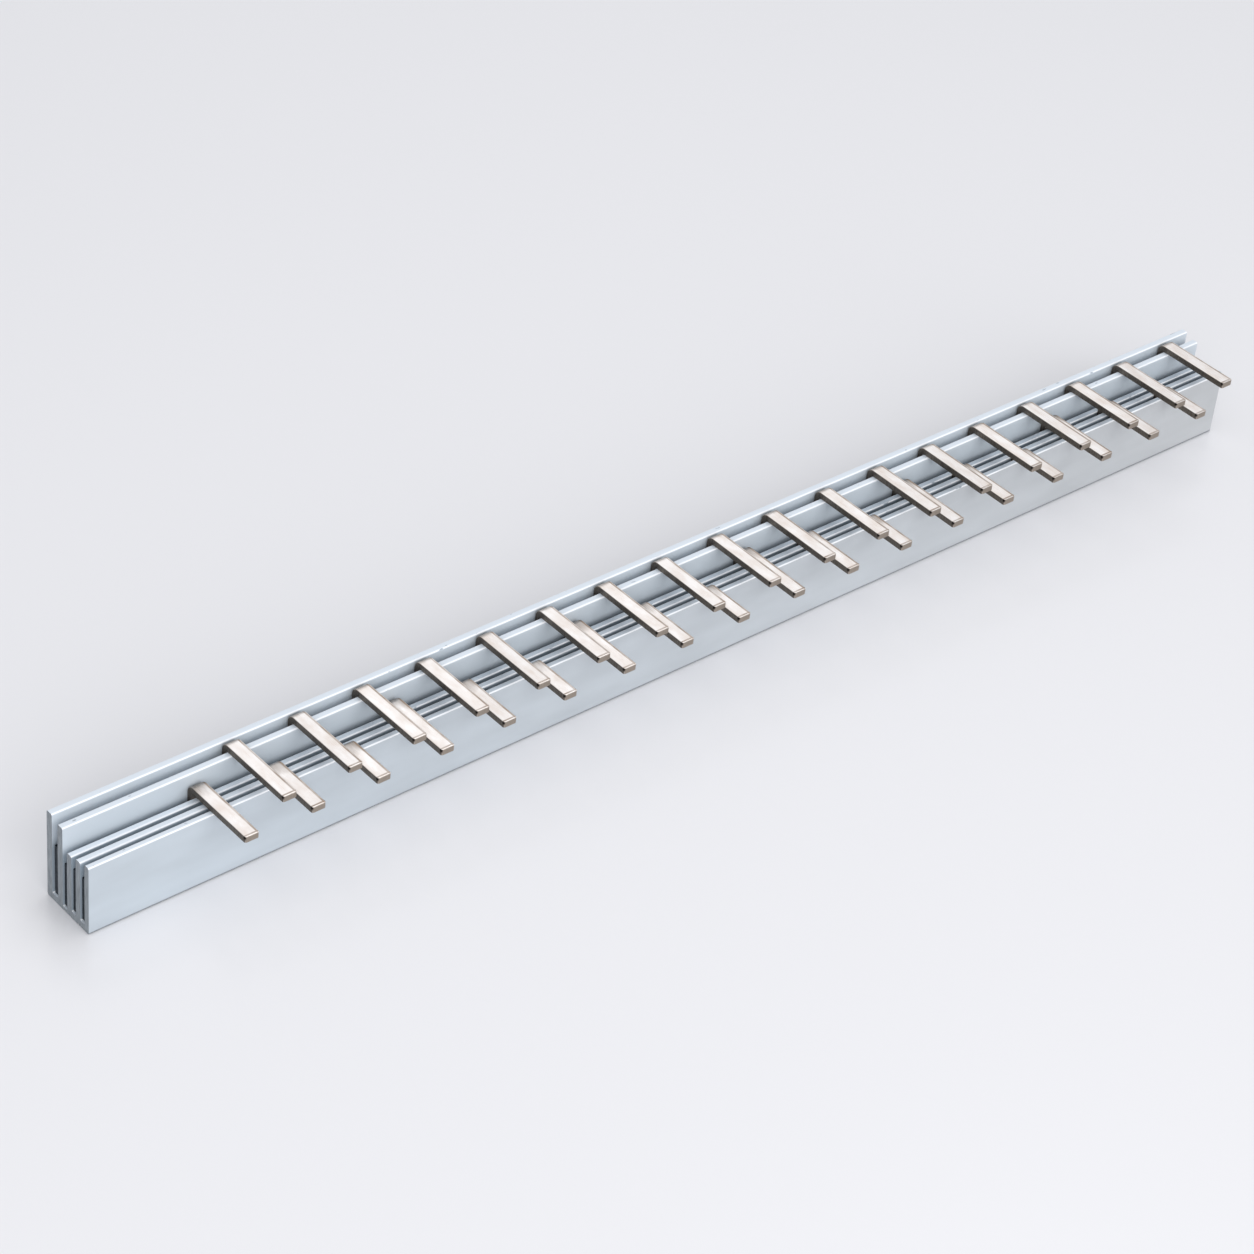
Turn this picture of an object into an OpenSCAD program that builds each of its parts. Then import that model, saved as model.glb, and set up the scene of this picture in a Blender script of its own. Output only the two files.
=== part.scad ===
// Comb busbar for a row of modular breakers that each take one phase pin and one neutral pin.
// An extruded insulating profile with four slots holds four stamped copper combs on edge.
// The neutral comb stands in the rear slot, and the three phase combs in the slots before it.
//
// Frame: the origin is the middle of the profile's underside. +X runs along the bar,
// +Y points to the back, away from the pins' tips, and +Z points up out of the slots.

/* [Layout] */
// Breaker modules served, each with one phase pin and one neutral pin
modules = 18; // [6:1:24]
// Distance from one module to the next
pitch = 17.8; // [17.5:0.1:18.5]
// Distance from a phase pin's middle to the middle of the neutral pin of the same module
neutral_shift = 11.75; // [8:0.25:13]
// Profile length before the middle of the first phase pin
lead_in = 34; // [10:1:60]
// Profile length after the middle of the last neutral pin
lead_out = 9.75; // [6:0.25:40]

/* [Profile] */
// Thickness of the front wall
front_wall = 1.6; // [1:0.1:2.4]
// Thickness of the two walls between the phase slots
phase_wall = 1.7; // [1:0.05:2.4]
// Thickness of the wall between the phase slots and the neutral slot
neutral_wall = 1.9; // [1.2:0.1:3]
// Thickness of the back wall
back_wall = 2; // [1.2:0.1:3]
// Height of the front wall
low_h = 18.7; // [17:0.1:21]
// Drop in height from the front wall to the next wall, and from that one to the third
low_step = 0.7; // [0:0.1:1]
// Height of the wall in front of the neutral slot
middle_h = 22.8; // [22:0.1:26]
// Height of the back wall
back_h = 23.9; // [18:0.1:28]
// Thickness of the floor below the slots
floor_t = 1.8; // [1.2:0.1:3]
// Thickness of the thinner web below the rear phase slot
web_t = 0.9; // [0.7:0.05:1.2]
// Radius along the upper edges of the walls
edge_r = 0.45; // [0.2:0.05:0.48]
// Radius in the lower corners of the slots
slot_r = 0.35; // [0.1:0.05:0.6]
// Radius of the lower edge at the back
back_edge_r = 0.6; // [0.3:0.1:1.6]
// Radius of the lower edge at the front
front_edge_r = 0.3; // [0.1:0.05:1]
// Width of the marking grooves in the underside
groove_w = 0.9; // [0.4:0.1:1.4]
// Depth of the marking grooves in the underside
groove_d = 0.3; // [0.1:0.05:0.4]

/* [Conductors] */
// Thickness of the copper strip
bar_t = 1.6; // [1:0.05:2.5]
// Height of the neutral strip
neutral_bar_h = 13.5; // [8:0.1:16]
// Height of the phase strips
phase_bar_h = 11.8; // [6:0.1:12.4]
// Gap from each end of the profile to the ends of the strips
end_gap = 0.5; // [0.1:0.1:5]
// Width of a pin
pin_w = 3.8; // [3:0.1:5]
// Reach of the phase pins beyond the front wall
phase_reach = 11.9; // [8:0.1:18]
// Reach of the neutral pins beyond the front wall
neutral_reach = 9.3; // [6:0.1:18]
// Radius in the corners where a pin leaves its strip
root_r = 1; // [0.3:0.1:1.5]
// Radius along the outer edges of a pin, left by the punch
roll_r = 0.25; // [0.1:0.05:0.5]
// Radius of a pin's two corners at the tip
tip_r = 0.55; // [0.3:0.05:1.2]

/* [Clearances] */
// Gap between a phase strip and each side of its slot
bar_clear = 0.05; // [0.02:0.01:0.3]
// Gap between the neutral strip and each side of its slot
neutral_clear = 0.3; // [0.05:0.05:0.6]
// Gap between the pins and the top of the wall that they are bent over
pin_clear = 0.15; // [0.05:0.05:0.5]
// Gap between a strip's lower edges and the rounded corners of its slot
seat_clear = 0.02; // [0.01:0.01:0.1]

/* [Hidden] */
$fn = 48;
// The phases follow each other in turn along the row of modules
phases = 3;
eps = 0.01;

profile_l = lead_in + (modules - 1) * pitch + neutral_shift + lead_out;
// Walls and slots from front to back, with the strip's side clearance in each slot
walls = [front_wall, phase_wall, phase_wall, neutral_wall, back_wall];
heights = [low_h, low_h - low_step, low_h - 2 * low_step, middle_h, back_h];
clears = [bar_clear, bar_clear, bar_clear, neutral_clear];
slots = [for (clear = clears) bar_t + 2 * clear];
floors = [floor_t, floor_t, web_t, floor_t];
rear_phase_slot = phases - 1;
neutral_slot = phases;
base_h = max(floors) + slot_r;

// The pins' bends clear the rounded edges of the front wall and of the neutral slot's wall
bend_r = edge_r + pin_clear;
phase_under = low_h + pin_clear;
neutral_under = middle_h + pin_clear;

function sum_before(list, i) = i == 0 ? 0 : list[i - 1] + sum_before(list, i - 1);
profile_d = sum_before(walls, len(walls)) + sum_before(slots, len(slots));
// Front face of wall i, and front face of slot i
function wall_y(i) = sum_before(walls, i) + sum_before(slots, i) - profile_d / 2;
function slot_y(i) = wall_y(i) + walls[i];
// Height of a square lower edge above the floor, where it stands on the rounded corners
function seat_lift(clear) =
    clear < slot_r ? slot_r - sqrt(pow(slot_r, 2) - pow(slot_r - clear, 2)) : 0;
function bar_z(i) = floors[i] + seat_lift(clears[i]) + seat_clear;
function phase_pin_x(module_no) = -profile_l / 2 + lead_in + module_no * pitch;

// Material to take off or put in a square corner at the origin, to round it at radius r
module corner_gap(r) {
    difference() {
        square(r);
        translate([r, r]) circle(r);
    }
}

// Outline of one wall, standing on the floor line, with both upper edges rounded
module wall_outline(t, h) {
    translate([edge_r, 0]) square([t - 2 * edge_r, h]);
    square([t, h - edge_r]);
    translate([edge_r, h - edge_r]) circle(edge_r);
    translate([t - edge_r, h - edge_r]) circle(edge_r);
}

// Outline of the lower end of a slot, with both corners rounded
module slot_outline(w, h) {
    translate([slot_r, 0]) square([w - 2 * slot_r, h]);
    translate([0, slot_r]) square([w, h]);
    translate([slot_r, slot_r]) circle(slot_r);
    translate([w - slot_r, slot_r]) circle(slot_r);
}

// V-shaped groove in the underside, with its middle at y
module groove_outline(y) {
    translate([y, 0])
        polygon([[-groove_w / 2, -eps], [groove_w / 2, -eps], [0, groove_d]]);
}

// Cross-section of the profile, with the front at the left
module profile_outline() {
    difference() {
        union() {
            translate([-profile_d / 2, 0]) square([profile_d, base_h]);
            for (i = [0 : len(walls) - 1])
                translate([wall_y(i), 0]) wall_outline(walls[i], heights[i]);
        }
        for (i = [0 : len(slots) - 1])
            translate([slot_y(i), floors[i]]) slot_outline(slots[i], base_h);
        translate([-profile_d / 2, 0]) corner_gap(front_edge_r);
        translate([profile_d / 2, 0]) mirror([1, 0]) corner_gap(back_edge_r);
        groove_outline(slot_y(rear_phase_slot) + slots[rear_phase_slot] / 2);
        groove_outline(wall_y(1) + walls[1] / 2);
    }
}

module profile() {
    color([0.74, 0.78, 0.82])
        translate([-profile_l / 2, 0, 0])
            rotate([90, 0, 90])
                linear_extrude(profile_l) profile_outline();
}

// Section of a pin: the thickness runs along x, and the outer edges at x = bar_t are rounded
module pin_section() {
    translate([0, -pin_w / 2]) square([bar_t - roll_r, pin_w]);
    translate([0, roll_r - pin_w / 2]) square([bar_t, pin_w - 2 * roll_r]);
    for (side = [-1, 1])
        translate([bar_t - roll_r, side * (pin_w / 2 - roll_r)]) circle(roll_r);
}

// Flat arm of a pin seen from above, from the bend to the rounded tip
module arm_outline(run) {
    translate([-pin_w / 2, -run + tip_r]) square([pin_w, run - tip_r - bend_r]);
    translate([tip_r - pin_w / 2, -run]) square([pin_w - 2 * tip_r, run - bend_r]);
    for (side = [-1, 1])
        translate([side * (pin_w / 2 - tip_r), -run + tip_r]) circle(tip_r);
}

// Flat arm of a pin seen from the side, with the upper edge of the tip rounded
module arm_side(run) {
    difference() {
        translate([-run, 0]) square([run - bend_r, bar_t]);
        translate([-run, bar_t]) mirror([0, 1]) corner_gap(roll_r);
    }
}

module pin_arm(run) {
    intersection() {
        translate([0, -bend_r, 0])
            rotate([90, 0, 0])
                linear_extrude(run) rotate(90) pin_section();
        linear_extrude(bar_t + eps) arm_outline(run);
        translate([-pin_w / 2, 0, 0])
            rotate([90, 0, 90])
                linear_extrude(pin_w) arm_side(run);
    }
}

// One pin, with z = 0 where its leg ends and the bend starts. The leg's front face is at
// y = 0, the arm's lower face at z = bend_r, and the tip at y = -run. Its foot is in the root.
module pin(leg_h, run) {
    translate([0, 0, -leg_h])
        linear_extrude(leg_h) rotate(90) mirror([0, 1]) pin_section();
    translate([0, -bend_r, 0])
        rotate([0, 90, 0])
            rotate(90)
                rotate_extrude(angle = 90) translate([bend_r, 0]) pin_section();
    translate([0, 0, bend_r]) pin_arm(run);
}

// Stamped outline of a strip in the x-z plane with the roots of its pins, its top at z = 0
module strip_outline(pins_x, strip_h) {
    strip_l = profile_l - 2 * end_gap;
    translate([-strip_l / 2, -strip_h]) square([strip_l, strip_h]);
    for (x = pins_x)
        translate([x, 0]) {
            translate([-pin_w / 2, -eps]) square([pin_w, root_r + eps]);
            for (side = [0, 1])
                mirror([side, 0]) translate([pin_w / 2, 0]) corner_gap(root_r);
        }
}

// One comb in slot i: its strip stands on edge, and its pins bend forward at under_z
module comb(i, pins_x, strip_h, under_z, reach) {
    front_y = slot_y(i) + clears[i];
    top_z = bar_z(i) + strip_h;
    leg_h = under_z - bend_r - top_z;
    run = front_y + profile_d / 2 + reach;
    translate([0, front_y, top_z]) {
        translate([0, bar_t, 0])
            rotate([90, 0, 0])
                linear_extrude(bar_t) strip_outline(pins_x, strip_h);
        for (x = pins_x)
            translate([x, 0, leg_h]) pin(leg_h - root_r / 2, run);
    }
}

// Phase 1 stands in the rear phase slot, and phase 3 in the one behind the front wall
module phase_comb(phase) {
    pins_x = [for (k = [phase - 1 : phases : modules - 1]) phase_pin_x(k)];
    comb(phases - phase, pins_x, phase_bar_h, phase_under, phase_reach);
}

module neutral_comb() {
    pins_x = [for (k = [0 : modules - 1]) phase_pin_x(k) + neutral_shift];
    color([0.86, 0.83, 0.79])
        comb(neutral_slot, pins_x, neutral_bar_h, neutral_under, neutral_reach);
}

module phase_comb_1() {
    color([0.84, 0.81, 0.77]) phase_comb(1);
}

module phase_comb_2() {
    color([0.84, 0.81, 0.77]) phase_comb(2);
}

module phase_comb_3() {
    color([0.84, 0.81, 0.77]) phase_comb(3);
}

profile();
neutral_comb();
phase_comb_1();
phase_comb_2();
phase_comb_3();
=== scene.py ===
import math
import bpy
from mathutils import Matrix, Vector

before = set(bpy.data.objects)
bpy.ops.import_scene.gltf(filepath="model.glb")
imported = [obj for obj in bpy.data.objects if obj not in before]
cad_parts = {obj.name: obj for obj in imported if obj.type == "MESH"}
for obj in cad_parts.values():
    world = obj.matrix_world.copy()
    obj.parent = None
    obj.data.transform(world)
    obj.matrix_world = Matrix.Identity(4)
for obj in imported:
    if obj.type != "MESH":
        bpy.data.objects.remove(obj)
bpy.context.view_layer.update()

millimetre = 0.001
noiseRoughness = 0.55
noiseSpread = (0.3, 0.7)           # the values that most of a noise lies between

bpy.context.scene.view_settings.view_transform = "Standard"


def linearColour(code):
    # sRGB hex to the linear values that shaders work in
    parts = [int(code[i:i + 2], 16) / 255 for i in (1, 3, 5)]
    parts = [c / 12.92 if c <= 0.04045 else ((c + 0.055) / 1.055) ** 2.4 for c in parts]
    return (*parts, 1)


def fromTo(limits, results=(0.0, 1.0)):
    # what a Map Range reads between its two limits, and what it gives at each
    return {
        "From Min": limits[0], "From Max": limits[1], "To Min": results[0], "To Max": results[1],
    }


def setInputs(tree, node, inputs):
    # each input gets a value, a socket, or a node whose first output feeds it
    for name, value in inputs.items():
        if isinstance(value, bpy.types.Node):
            value = value.outputs[0]
        if isinstance(value, bpy.types.NodeSocket):
            tree.links.new(value, node.inputs[name])
        else:
            node.inputs[name].default_value = value


def addNode(tree, kind, inputs=None, **settings):
    node = tree.nodes.new("ShaderNode" + kind)
    for name, value in settings.items():
        setattr(node, name, value)
    setInputs(tree, node, inputs or {})
    return node


def newMaterial(name):
    material = bpy.data.materials.new(name)
    material.use_nodes = True
    tree = material.node_tree
    return material, tree, tree.nodes["Principled BSDF"]


camera = {
    "place": (-500.0, -501.7, 529.8),      # millimetres
    "turn": (53.10, -4.90, -39.96),        # degrees
    "lens": 103.98,
    "sensor": 36,
    "nearest": 0.01,                       # metres
}


def addCamera():
    bpy.ops.object.camera_add(
        location=Vector(camera["place"]) * millimetre,
        rotation=[math.radians(a) for a in camera["turn"]],
    )
    lensCamera = bpy.context.object
    lensCamera.data.lens = camera["lens"]
    lensCamera.data.sensor_width = camera["sensor"]
    lensCamera.data.clip_start = camera["nearest"]
    bpy.context.scene.camera = lensCamera
    print("camera is in")


studio = {
    "floorColour": "#eaeaed",
    "floorRoughness": 0.24,
    "floorSize": 6,                # metres
    "floorDrop": 0.0001,           # metres, keeps the table top clear of the bar's underside
    "worldColour": "#fbfcff",
    "worldStrength": 0.58,
    "glowStrength": 1.18,          # bright patch of wall behind the table, seen in the pins
    "glowDirection": (0.38, 0.64, 0.667),
    "glowFade": (0.84, 0.985),     # cosines of the angles at which it starts and is full
    "lamps": {                     # place and size in metres, power in watts
        "overhead": ((0.45, 0.0, 1.5), (1.2, 1.2), 5.0),
        "frontLight": ((-0.35, -1.25, 0.75), (2.4, 1.2), 18),
    },
}


def addFloor():
    # a smooth pale laminate table top, which gives the bar a faint blurred reflection
    bpy.ops.object.select_all(action="DESELECT")
    bpy.ops.mesh.primitive_plane_add(
        size=studio["floorSize"], location=(0, 0, -studio["floorDrop"]),
    )
    floor = bpy.context.object
    floor.name = "floor"
    material, tree, shader = newMaterial("paleLaminate")
    setInputs(tree, shader, {
        "Base Color": linearColour(studio["floorColour"]), "Roughness": studio["floorRoughness"],
    })
    floor.data.materials.append(material)
    print("table is in")


def addLamp(name, place, size, power):
    # a soft rectangle of light aimed at the middle of the bar
    bpy.ops.object.light_add(type="AREA", location=place)
    lamp = bpy.context.object
    lamp.name = name
    lamp.rotation_euler = (-Vector(place)).to_track_quat("-Z", "Y").to_euler()
    lamp.data.shape = "RECTANGLE"
    lamp.data.size, lamp.data.size_y = size
    lamp.data.energy = power


def addLight():
    world = bpy.data.worlds.new("softStudio")
    bpy.context.scene.world = world
    world.use_nodes = True
    world.cycles.sampling_method = "NONE"      # it is nearly even, so it needs no map
    tree = world.node_tree
    coords = addNode(tree, "TexCoord")
    towards = addNode(tree, "VectorMath", {
        0: coords.outputs["Generated"], 1: studio["glowDirection"],
    }, operation="DOT_PRODUCT")
    glow = addNode(tree, "MapRange", {
        "Value": towards.outputs["Value"],
        **fromTo(studio["glowFade"], (studio["worldStrength"], studio["glowStrength"])),
    }, interpolation_type="SMOOTHSTEP")
    paths = addNode(tree, "LightPath")
    strength = addNode(tree, "Mix", {
        0: paths.outputs["Is Glossy Ray"], 2: studio["worldStrength"], 3: glow,
    })
    setInputs(tree, tree.nodes["Background"], {
        "Color": linearColour(studio["worldColour"]), "Strength": strength,
    })
    for name, (place, size, power) in studio["lamps"].items():
        addLamp(name, place, size, power)
    print("light is in")


def millimetreAxes(tree):
    # the object's own coordinates in millimetres, together and as x, y and z
    coords = addNode(tree, "TexCoord")
    place = addNode(tree, "VectorMath", {
        0: coords.outputs["Object"], "Scale": 1 / millimetre,
    }, operation="SCALE")
    axes = addNode(tree, "SeparateXYZ", {0: place})
    return place, *axes.outputs


pvc = {
    "walls": "#bbc4cc",
    "wallsFarGreyDimmer": "#babdc0",        # towards the far end the tone turns from blue to grey and a little darker, partly painted dimmer light
    "innerWallsLit": "#ccd5dd",
    "tops": "#dbe4ed",
    "topsLow": "#b9c4ce",
    "topEdgeHighlights": "#f6f9fd",
    "nicks": "#a5b0ba",
    "cutEndsShaded": "#8c9399",
    "slotShade": "#a2afba",
    "slotShadeFar": "#8995a0",
    "lowerEdgeShadow": "#5d666e",
    "roughness": (0.30, 0.44),     # between one die line and the next
    "sawnRoughness": 0.3,          # more than that on the cut ends
    "relief": 0.10,
    "reliefHeight": 0.00008,       # metres
    "cloudTone": (0.93, 1.06),
    "sawTone": (0.78, 1.18),
    # sizes of the patterns in x, y and z, in millimetres
    "cloudSize": (33.3333, 8.3333, 8.3333),
    "nickSize": (2.8571, 0.83333, 2.5),
    "sawMarkSize": (0.28, 0.28, 2.33333),
    "dieLineSize": (87.5, 0.35, 0.35),
    "nickRarity": (0.72, 0.78),
    # where the tones change, in millimetres
    "greyerDimmerAlong": (-150.0, 170.0),
    "farther": (-165.0, -90.0),
    "outerFaces": (8.0, 7.8),
    "phaseSlotsFront": 0.5,
    "phaseSlotShade": (18.0, 17.1),
    "neutralSlotShade": (17.6, 14.6),
    "lowWalls": 20.0,
    "contactShadowBand": (0.55, 0.2),
}


def pvcMaterial():
    # extruded rigid PVC: smooth satin walls with faint die lines along the bar, glossier and
    # paler tops (the paleness a painted highlight), and dull sawn ends darkened as painted shade
    material, tree, shader = newMaterial("extrudedPvc")
    place, x, y, z = millimetreAxes(tree)
    geometry = addNode(tree, "NewGeometry")
    facing = addNode(tree, "SeparateXYZ", {0: geometry.outputs["Normal"]})

    cloudPlace = addNode(tree, "VectorMath", {0: place, 1: pvc["cloudSize"]}, operation="DIVIDE")
    cloud = addNode(tree, "TexNoise", {
        "Vector": cloudPlace, "Scale": 1.0, "Detail": 2.0, "Roughness": noiseRoughness,
    })
    cloudy = addNode(tree, "MapRange", {"Value": cloud, **fromTo(noiseSpread, pvc["cloudTone"])})
    # along the bar the walls turn greyer, and a little darker as painted dimmer light at the far
    # end
    along = addNode(tree, "MapRange", {"Value": x, **fromTo(pvc["greyerDimmerAlong"])})
    tone = addNode(tree, "MixRGB", {
        0: along, 1: linearColour(pvc["walls"]), 2: linearColour(pvc["wallsFarGreyDimmer"]),
    })
    walls = addNode(tree, "VectorMath", {0: tone, "Scale": cloudy}, operation="SCALE")

    # painted shade: the slots get darker downwards, and darker again farther along the bar,
    # standing for the shade deep inside them
    fromMiddle = addNode(tree, "Math", {0: y}, operation="ABSOLUTE")
    within = addNode(tree, "MapRange", {"Value": fromMiddle, **fromTo(pvc["outerFaces"])})
    phaseSlots = addNode(tree, "Math", {0: y, 1: pvc["phaseSlotsFront"]}, operation="LESS_THAN")
    phaseSunk = addNode(tree, "MapRange", {"Value": z, **fromTo(pvc["phaseSlotShade"])})
    phaseDepth = addNode(tree, "Math", {0: phaseSlots, 1: phaseSunk}, operation="MULTIPLY")
    neutralSunk = addNode(tree, "MapRange", {"Value": z, **fromTo(pvc["neutralSlotShade"])})
    deepest = addNode(tree, "Math", {0: phaseDepth, 1: neutralSunk}, operation="MAXIMUM")
    depth = addNode(tree, "Math", {0: within, 1: deepest}, operation="MULTIPLY")
    farther = addNode(tree, "MapRange", {"Value": x, **fromTo(pvc["farther"])})
    slotShadeTone = addNode(tree, "MixRGB", {
        0: farther, 1: linearColour(pvc["slotShade"]), 2: linearColour(pvc["slotShadeFar"]),
    })
    # painted light: the inner faces of the walls are lightened
    lighter = addNode(tree, "MixRGB", {0: within, 1: walls, 2: linearColour(pvc["innerWallsLit"])})
    slotShaded = addNode(tree, "MixRGB", {0: depth, 1: lighter, 2: slotShadeTone})

    # painted highlight: the tops are paler than the walls and their rounded edges paler still,
    # with dimmer tops on the low walls farther along; a few nicks
    upward = addNode(tree, "MapRange", {"Value": facing.outputs["Z"], **fromTo((0.2, 0.6))})
    topMiddle = addNode(tree, "MapRange", {"Value": facing.outputs["Z"], **fromTo((0.86, 0.99))})
    nickPlace = addNode(tree, "VectorMath", {0: place, 1: pvc["nickSize"]}, operation="DIVIDE")
    nickNoise = addNode(tree, "TexNoise", {
        "Vector": nickPlace, "Scale": 1.0, "Detail": 1.0, "Roughness": noiseRoughness,
    })
    nicks = addNode(tree, "MapRange", {"Value": nickNoise, **fromTo(pvc["nickRarity"])})
    lowWall = addNode(tree, "Math", {0: z, 1: pvc["lowWalls"]}, operation="LESS_THAN")
    dimmerTops = addNode(tree, "Math", {0: lowWall, 1: farther}, operation="MULTIPLY")
    topFlat = addNode(tree, "MixRGB", {
        0: dimmerTops, 1: linearColour(pvc["tops"]), 2: linearColour(pvc["topsLow"]),
    })
    topTone = addNode(tree, "MixRGB", {0: topMiddle, 1: linearColour(pvc["topEdgeHighlights"]), 2: topFlat})
    nicked = addNode(tree, "MixRGB", {0: nicks, 1: topTone, 2: linearColour(pvc["nicks"])})
    topped = addNode(tree, "MixRGB", {0: upward, 1: slotShaded, 2: nicked})

    # painted shadow along the lower edge, standing for the contact shadow where the bar stands on
    # the table
    low = addNode(tree, "MapRange", {"Value": z, **fromTo(pvc["contactShadowBand"])})
    contactShaded = addNode(tree, "MixRGB", {0: low, 1: topped, 2: linearColour(pvc["lowerEdgeShadow"])})

    # sawn ends with marks that run down the cut, darkened as painted shade on faces turned from
    # the light
    endwards = addNode(tree, "Math", {0: facing.outputs["X"]}, operation="ABSOLUTE")
    sawn = addNode(tree, "MapRange", {"Value": endwards, **fromTo((0.7, 0.9))})
    sawPlace = addNode(tree, "VectorMath", {0: place, 1: pvc["sawMarkSize"]}, operation="DIVIDE")
    sawMarks = addNode(tree, "TexNoise", {
        "Vector": sawPlace, "Scale": 1.0, "Detail": 2.0, "Roughness": noiseRoughness,
    })
    sawTone = addNode(tree, "MapRange", {"Value": sawMarks, **fromTo(noiseSpread, pvc["sawTone"])})
    cut = addNode(tree, "VectorMath", {
        0: linearColour(pvc["cutEndsShaded"])[:3], "Scale": sawTone,
    }, operation="SCALE")
    colour = addNode(tree, "MixRGB", {0: sawn, 1: contactShaded, 2: cut})

    diePlace = addNode(tree, "VectorMath", {0: place, 1: pvc["dieLineSize"]}, operation="DIVIDE")
    dieLines = addNode(tree, "TexNoise", {
        "Vector": diePlace, "Scale": 1.0, "Detail": 2.0, "Roughness": noiseRoughness,
    })
    shine = addNode(tree, "MapRange", {"Value": dieLines, **fromTo(noiseSpread, pvc["roughness"])})
    dull = addNode(tree, "Math", {
        0: sawn, 1: pvc["sawnRoughness"], 2: shine,
    }, operation="MULTIPLY_ADD")
    grain = addNode(tree, "MixRGB", {0: sawn, 1: dieLines, 2: sawMarks})
    bump = addNode(tree, "Bump", {
        "Height": grain, "Strength": pvc["relief"], "Distance": pvc["reliefHeight"],
    })
    setInputs(tree, shader, {
        "Base Color": colour, "Roughness": dull, "Normal": bump, "IOR": 1.53,
    })
    return material


tin = {
    "plated": "#f6f2ef",
    "platedWarm": "#e6dcd4",
    "shearedWithDarkReflection": "#675f57",
    "shearedPaleWithDarkReflection": "#7b736b",
    "tips": "#a3988d",
    "edgeLine": "#8b7663",
    "corner": "#241f1c",
    "bends": "#8f867e",
    "stripEndShade": "#3b4046",
    "roughness": (0.25, 0.40),     # between one rolling line and the next
    "cutRoughness": 0.16,          # more than that on sheared sides and tips
    "relief": 0.06,
    "reliefHeight": 0.00008,       # metres
    "pinTone": (0.95, 1.03),       # from pin to pin
    # sizes of the patterns in x, y and z, in millimetres
    "cloudSize": (2.5, 5.6818, 2.5),
    "lineBreakSize": (5.0, 5.0, 5.0),
    "tearSize": (0.384615, 0.384615, 1.53846),
    "rollingSize": (0.222222, 7.40741, 0.740741),
    # places and lengths in millimetres
    "pitch": 17.8,
    "halfWidth": 1.9,
    "sideLineInset": 0.45,
    "tipLineInset": 0.5,
    "lineFade": (0.34, 0.06),
    "stripEndsFrom": (176.0, 178.0),
    "combs": {                     # first pin's x, tip's y, bend's y, dark bend part's length, top's z
        "neutral_comb": (-133.3, -17.4, 3.6, 1.2, 24.55),
        "phase_comb_1": (-145.05, -20.0, -0.25, 5.0, 20.45),
        "phase_comb_2": (-145.05, -20.0, -3.65, 5.0, 20.45),
        "phase_comb_3": (-145.05, -20.0, -7.05, 5.0, 20.45),
    },
}


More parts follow.
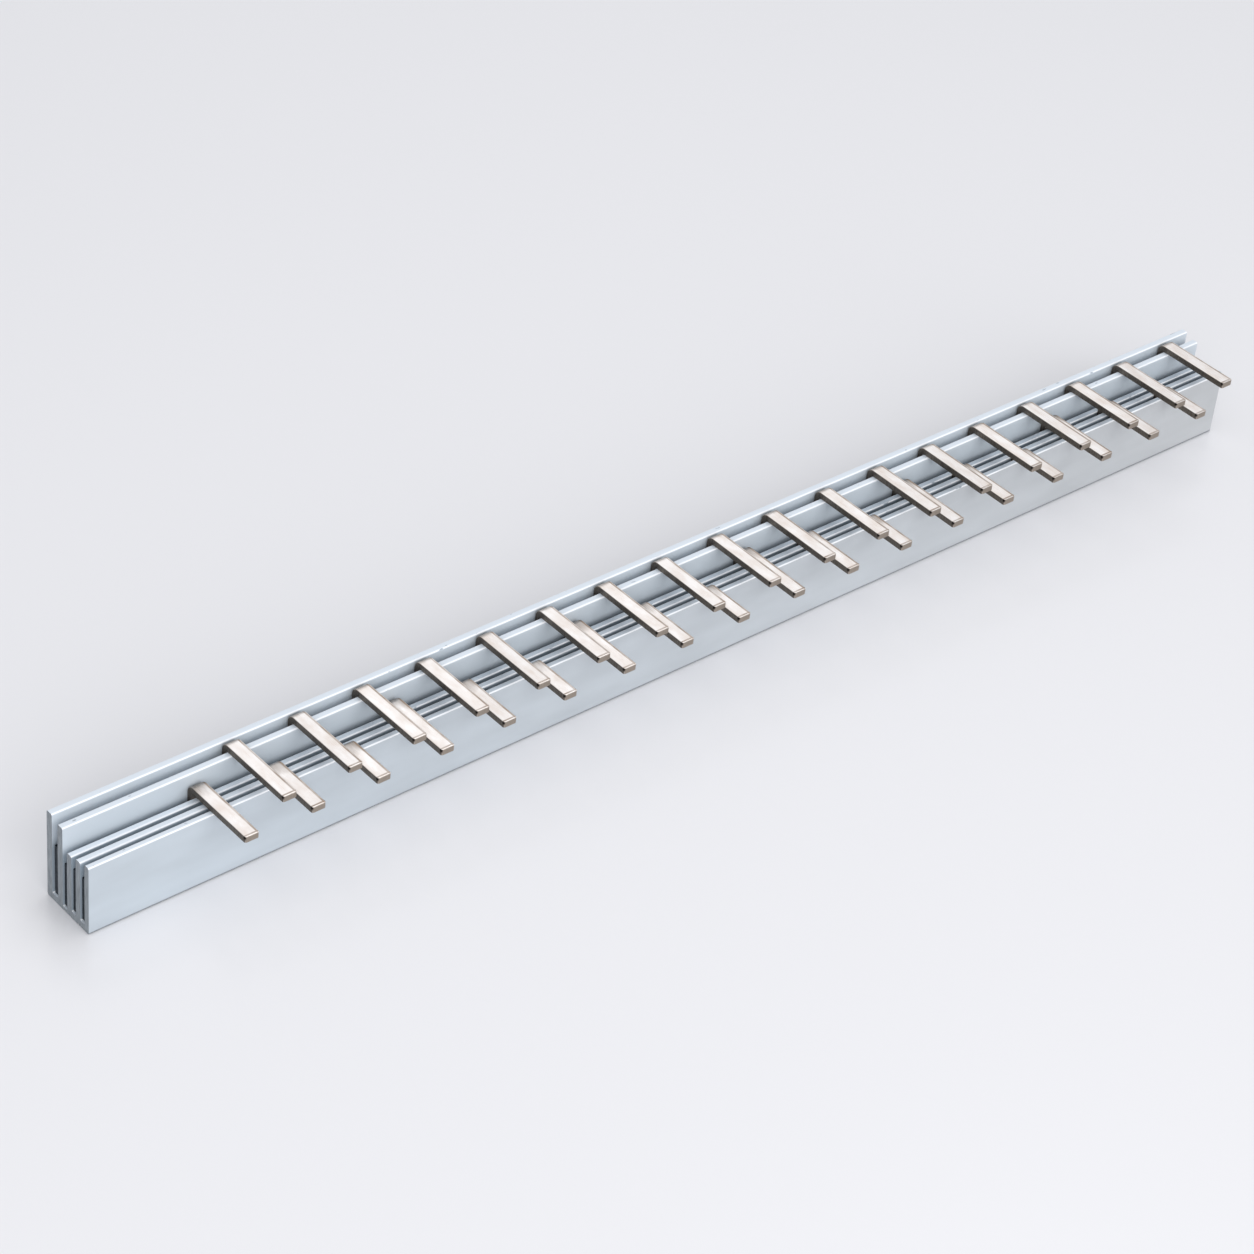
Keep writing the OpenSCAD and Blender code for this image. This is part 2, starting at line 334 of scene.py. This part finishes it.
def tinMaterial(comb):
    # tin-plated copper strip, rolled, punched and bent: satin warm-white flats with faint rolling
    # lines, dark grey-brown sheared sides (partly painted dark reflection), taupe cut tips and a
    # thin brown line inside the edges
    firstPin, tipPlace, bendPlace, darkBendPart, topPlace = tin["combs"][comb]
    halfPitch = tin["pitch"] / 2
    material, tree, shader = newMaterial("tinPlatedCopper_" + comb)
    place, x, y, z = millimetreAxes(tree)
    geometry = addNode(tree, "NewGeometry")
    facing = addNode(tree, "SeparateXYZ", {0: geometry.outputs["Normal"]})

    # distance across the pin from its middle, which repeats at every module
    turns = addNode(tree, "MapRange", {
        "Value": x, **fromTo((firstPin - halfPitch, firstPin + halfPitch)),
    }, clamp=False)
    part = addNode(tree, "Math", {0: turns}, operation="FRACT")
    across = addNode(tree, "MapRange", {
        "Value": part, **fromTo((0.0, 1.0), (-halfPitch, halfPitch)),
    })

    cloudPlace = addNode(tree, "VectorMath", {0: place, 1: tin["cloudSize"]}, operation="DIVIDE")
    cloud = addNode(tree, "TexNoise", {
        "Vector": cloudPlace, "Scale": 1.0, "Detail": 3.0, "Roughness": noiseRoughness,
    })
    cloudy = addNode(tree, "MapRange", {"Value": cloud, **fromTo((0.35, 0.7))})
    flats = addNode(tree, "MixRGB", {
        0: cloudy, 1: linearColour(tin["plated"]), 2: linearColour(tin["platedWarm"]),
    })
    pinNumber = addNode(tree, "Math", {0: turns}, operation="FLOOR")
    pinNoise = addNode(tree, "TexWhiteNoise", {"W": pinNumber}, noise_dimensions="1D")
    perPin = addNode(tree, "MapRange", {
        "Value": pinNoise, **fromTo((0.0, 1.0), tin["pinTone"]),
    })
    toned = addNode(tree, "VectorMath", {0: flats, "Scale": perPin}, operation="SCALE")

    # painted reflection: the outer side of each bend is darkened, where it turns away and reflects
    # darker surroundings
    darkBendFrom = bendPlace + 1.0 - darkBendPart / 2
    darkBendTo = bendPlace + 1.6 + darkBendPart / 2
    blotched = addNode(tree, "Math", {0: cloud, 1: darkBendPart, 2: y}, operation="MULTIPLY_ADD")
    backwards = addNode(tree, "MapRange", {"Value": blotched, **fromTo((darkBendFrom, darkBendTo))})
    bent = addNode(tree, "MixRGB", {0: backwards, 1: toned, 2: linearColour(tin["bends"])})

    # thin brown line where the punch wiped the plating off, just inside the right edge and the tip
    fromRight = addNode(tree, "Math", {
        0: across, 1: tin["halfWidth"] - tin["sideLineInset"],
    }, operation="SUBTRACT")
    fromTip = addNode(tree, "Math", {
        0: y, 1: tipPlace + tin["tipLineInset"],
    }, operation="SUBTRACT")
    rightAway = addNode(tree, "Math", {0: fromRight}, operation="ABSOLUTE")
    tipAway = addNode(tree, "Math", {0: fromTip}, operation="ABSOLUTE")
    away = addNode(tree, "Math", {0: rightAway, 1: tipAway}, operation="MINIMUM")
    lines = addNode(tree, "MapRange", {"Value": away, **fromTo(tin["lineFade"])})
    upward = addNode(tree, "MapRange", {"Value": facing.outputs["Z"], **fromTo((0.8, 0.95))})
    breakPlace = addNode(tree, "VectorMath", {
        0: place, 1: tin["lineBreakSize"],
    }, operation="DIVIDE")
    breaks = addNode(tree, "TexNoise", {
        "Vector": breakPlace, "Scale": 1.0, "Detail": 2.0, "Roughness": noiseRoughness,
    })
    broken = addNode(tree, "MapRange", {"Value": breaks, **fromTo((0.38, 0.6), (0.55, 0.9))})
    faint = addNode(tree, "Math", {0: lines, 1: broken}, operation="MULTIPLY")
    lined = addNode(tree, "Math", {0: faint, 1: upward}, operation="MULTIPLY")
    marked = addNode(tree, "MixRGB", {0: lined, 1: bent, 2: linearColour(tin["edgeLine"])})

    # sheared sides with burnished and torn bands; their dark grey-brown is partly the sheared
    # metal's own colour and partly a painted dark reflection
    sidewards = addNode(tree, "Math", {0: facing.outputs["X"]}, operation="ABSOLUTE")
    side = addNode(tree, "MapRange", {"Value": sidewards, **fromTo((0.45, 0.8))})
    tearPlace = addNode(tree, "VectorMath", {0: place, 1: tin["tearSize"]}, operation="DIVIDE")
    tear = addNode(tree, "TexNoise", {
        "Vector": tearPlace, "Scale": 1.0, "Detail": 3.0, "Roughness": noiseRoughness,
    })
    torn = addNode(tree, "MapRange", {"Value": tear, **fromTo((0.35, 0.68))})
    shearTone = addNode(tree, "MixRGB", {
        0: torn, 1: linearColour(tin["shearedWithDarkReflection"]), 2: linearColour(tin["shearedPaleWithDarkReflection"]),
    })
    sided = addNode(tree, "MixRGB", {0: side, 1: marked, 2: shearTone})

    frontwards = addNode(tree, "MapRange", {"Value": facing.outputs["Y"], **fromTo((-0.6, -0.9))})
    atTip = addNode(tree, "MapRange", {"Value": y, **fromTo((tipPlace + 1.0, tipPlace + 0.7))})
    tipMask = addNode(tree, "Math", {0: frontwards, 1: atTip}, operation="MULTIPLY")
    tipped = addNode(tree, "MixRGB", {0: tipMask, 1: sided, 2: linearColour(tin["tips"])})

    # painted reflection: a dark spot on the tip's left corner, where the top and corner roundings
    # meet and reflect dark
    leftCorner = addNode(tree, "MapRange", {"Value": across, **fromTo((-1.45, -1.70))})
    nearTip = addNode(tree, "MapRange", {"Value": y, **fromTo((tipPlace + 0.75, tipPlace + 0.50))})
    nearTop = addNode(tree, "MapRange", {"Value": z, **fromTo((topPlace - 1.1, topPlace - 0.5))})
    notTop = addNode(tree, "MapRange", {"Value": facing.outputs["Z"], **fromTo((0.95, 0.75))})
    corner = addNode(tree, "Math", {0: leftCorner, 1: nearTip}, operation="MULTIPLY")
    cornerHigh = addNode(tree, "Math", {0: corner, 1: nearTop}, operation="MULTIPLY")
    darkReflectionSpot = addNode(tree, "Math", {0: cornerHigh, 1: notTop}, operation="MULTIPLY")
    cornerReflected = addNode(tree, "MixRGB", {0: darkReflectionSpot, 1: tipped, 2: linearColour(tin["corner"])})

    # painted shade: the strips' own cut ends lie deep in the profile, are dull and are darkened as
    # the shade there
    far = addNode(tree, "Math", {0: x}, operation="ABSOLUTE")
    atEnd = addNode(tree, "MapRange", {"Value": far, **fromTo(tin["stripEndsFrom"])})
    colour = addNode(tree, "MixRGB", {0: atEnd, 1: cornerReflected, 2: linearColour(tin["stripEndShade"])})

    rollPlace = addNode(tree, "VectorMath", {0: place, 1: tin["rollingSize"]}, operation="DIVIDE")
    rolling = addNode(tree, "TexNoise", {
        "Vector": rollPlace, "Scale": 1.0, "Detail": 2.0, "Roughness": noiseRoughness,
    })
    shine = addNode(tree, "MapRange", {"Value": rolling, **fromTo(noiseSpread, tin["roughness"])})
    cutFaces = addNode(tree, "Math", {0: side, 1: tipMask}, operation="MAXIMUM")
    rough = addNode(tree, "Math", {
        0: cutFaces, 1: tin["cutRoughness"], 2: shine,
    }, operation="MULTIPLY_ADD")
    grain = addNode(tree, "MixRGB", {0: cutFaces, 1: rolling, 2: tear})
    bump = addNode(tree, "Bump", {
        "Height": grain, "Strength": tin["relief"], "Distance": tin["reliefHeight"],
    })
    setInputs(tree, shader, {
        "Base Color": colour, "Roughness": rough, "Normal": bump, "Metallic": 1,
    })
    return material


addCamera()
addFloor()
addLight()
for name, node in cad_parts.items():
    node.data.materials[0] = pvcMaterial() if name == "profile" else tinMaterial(name)
print("materials are on")
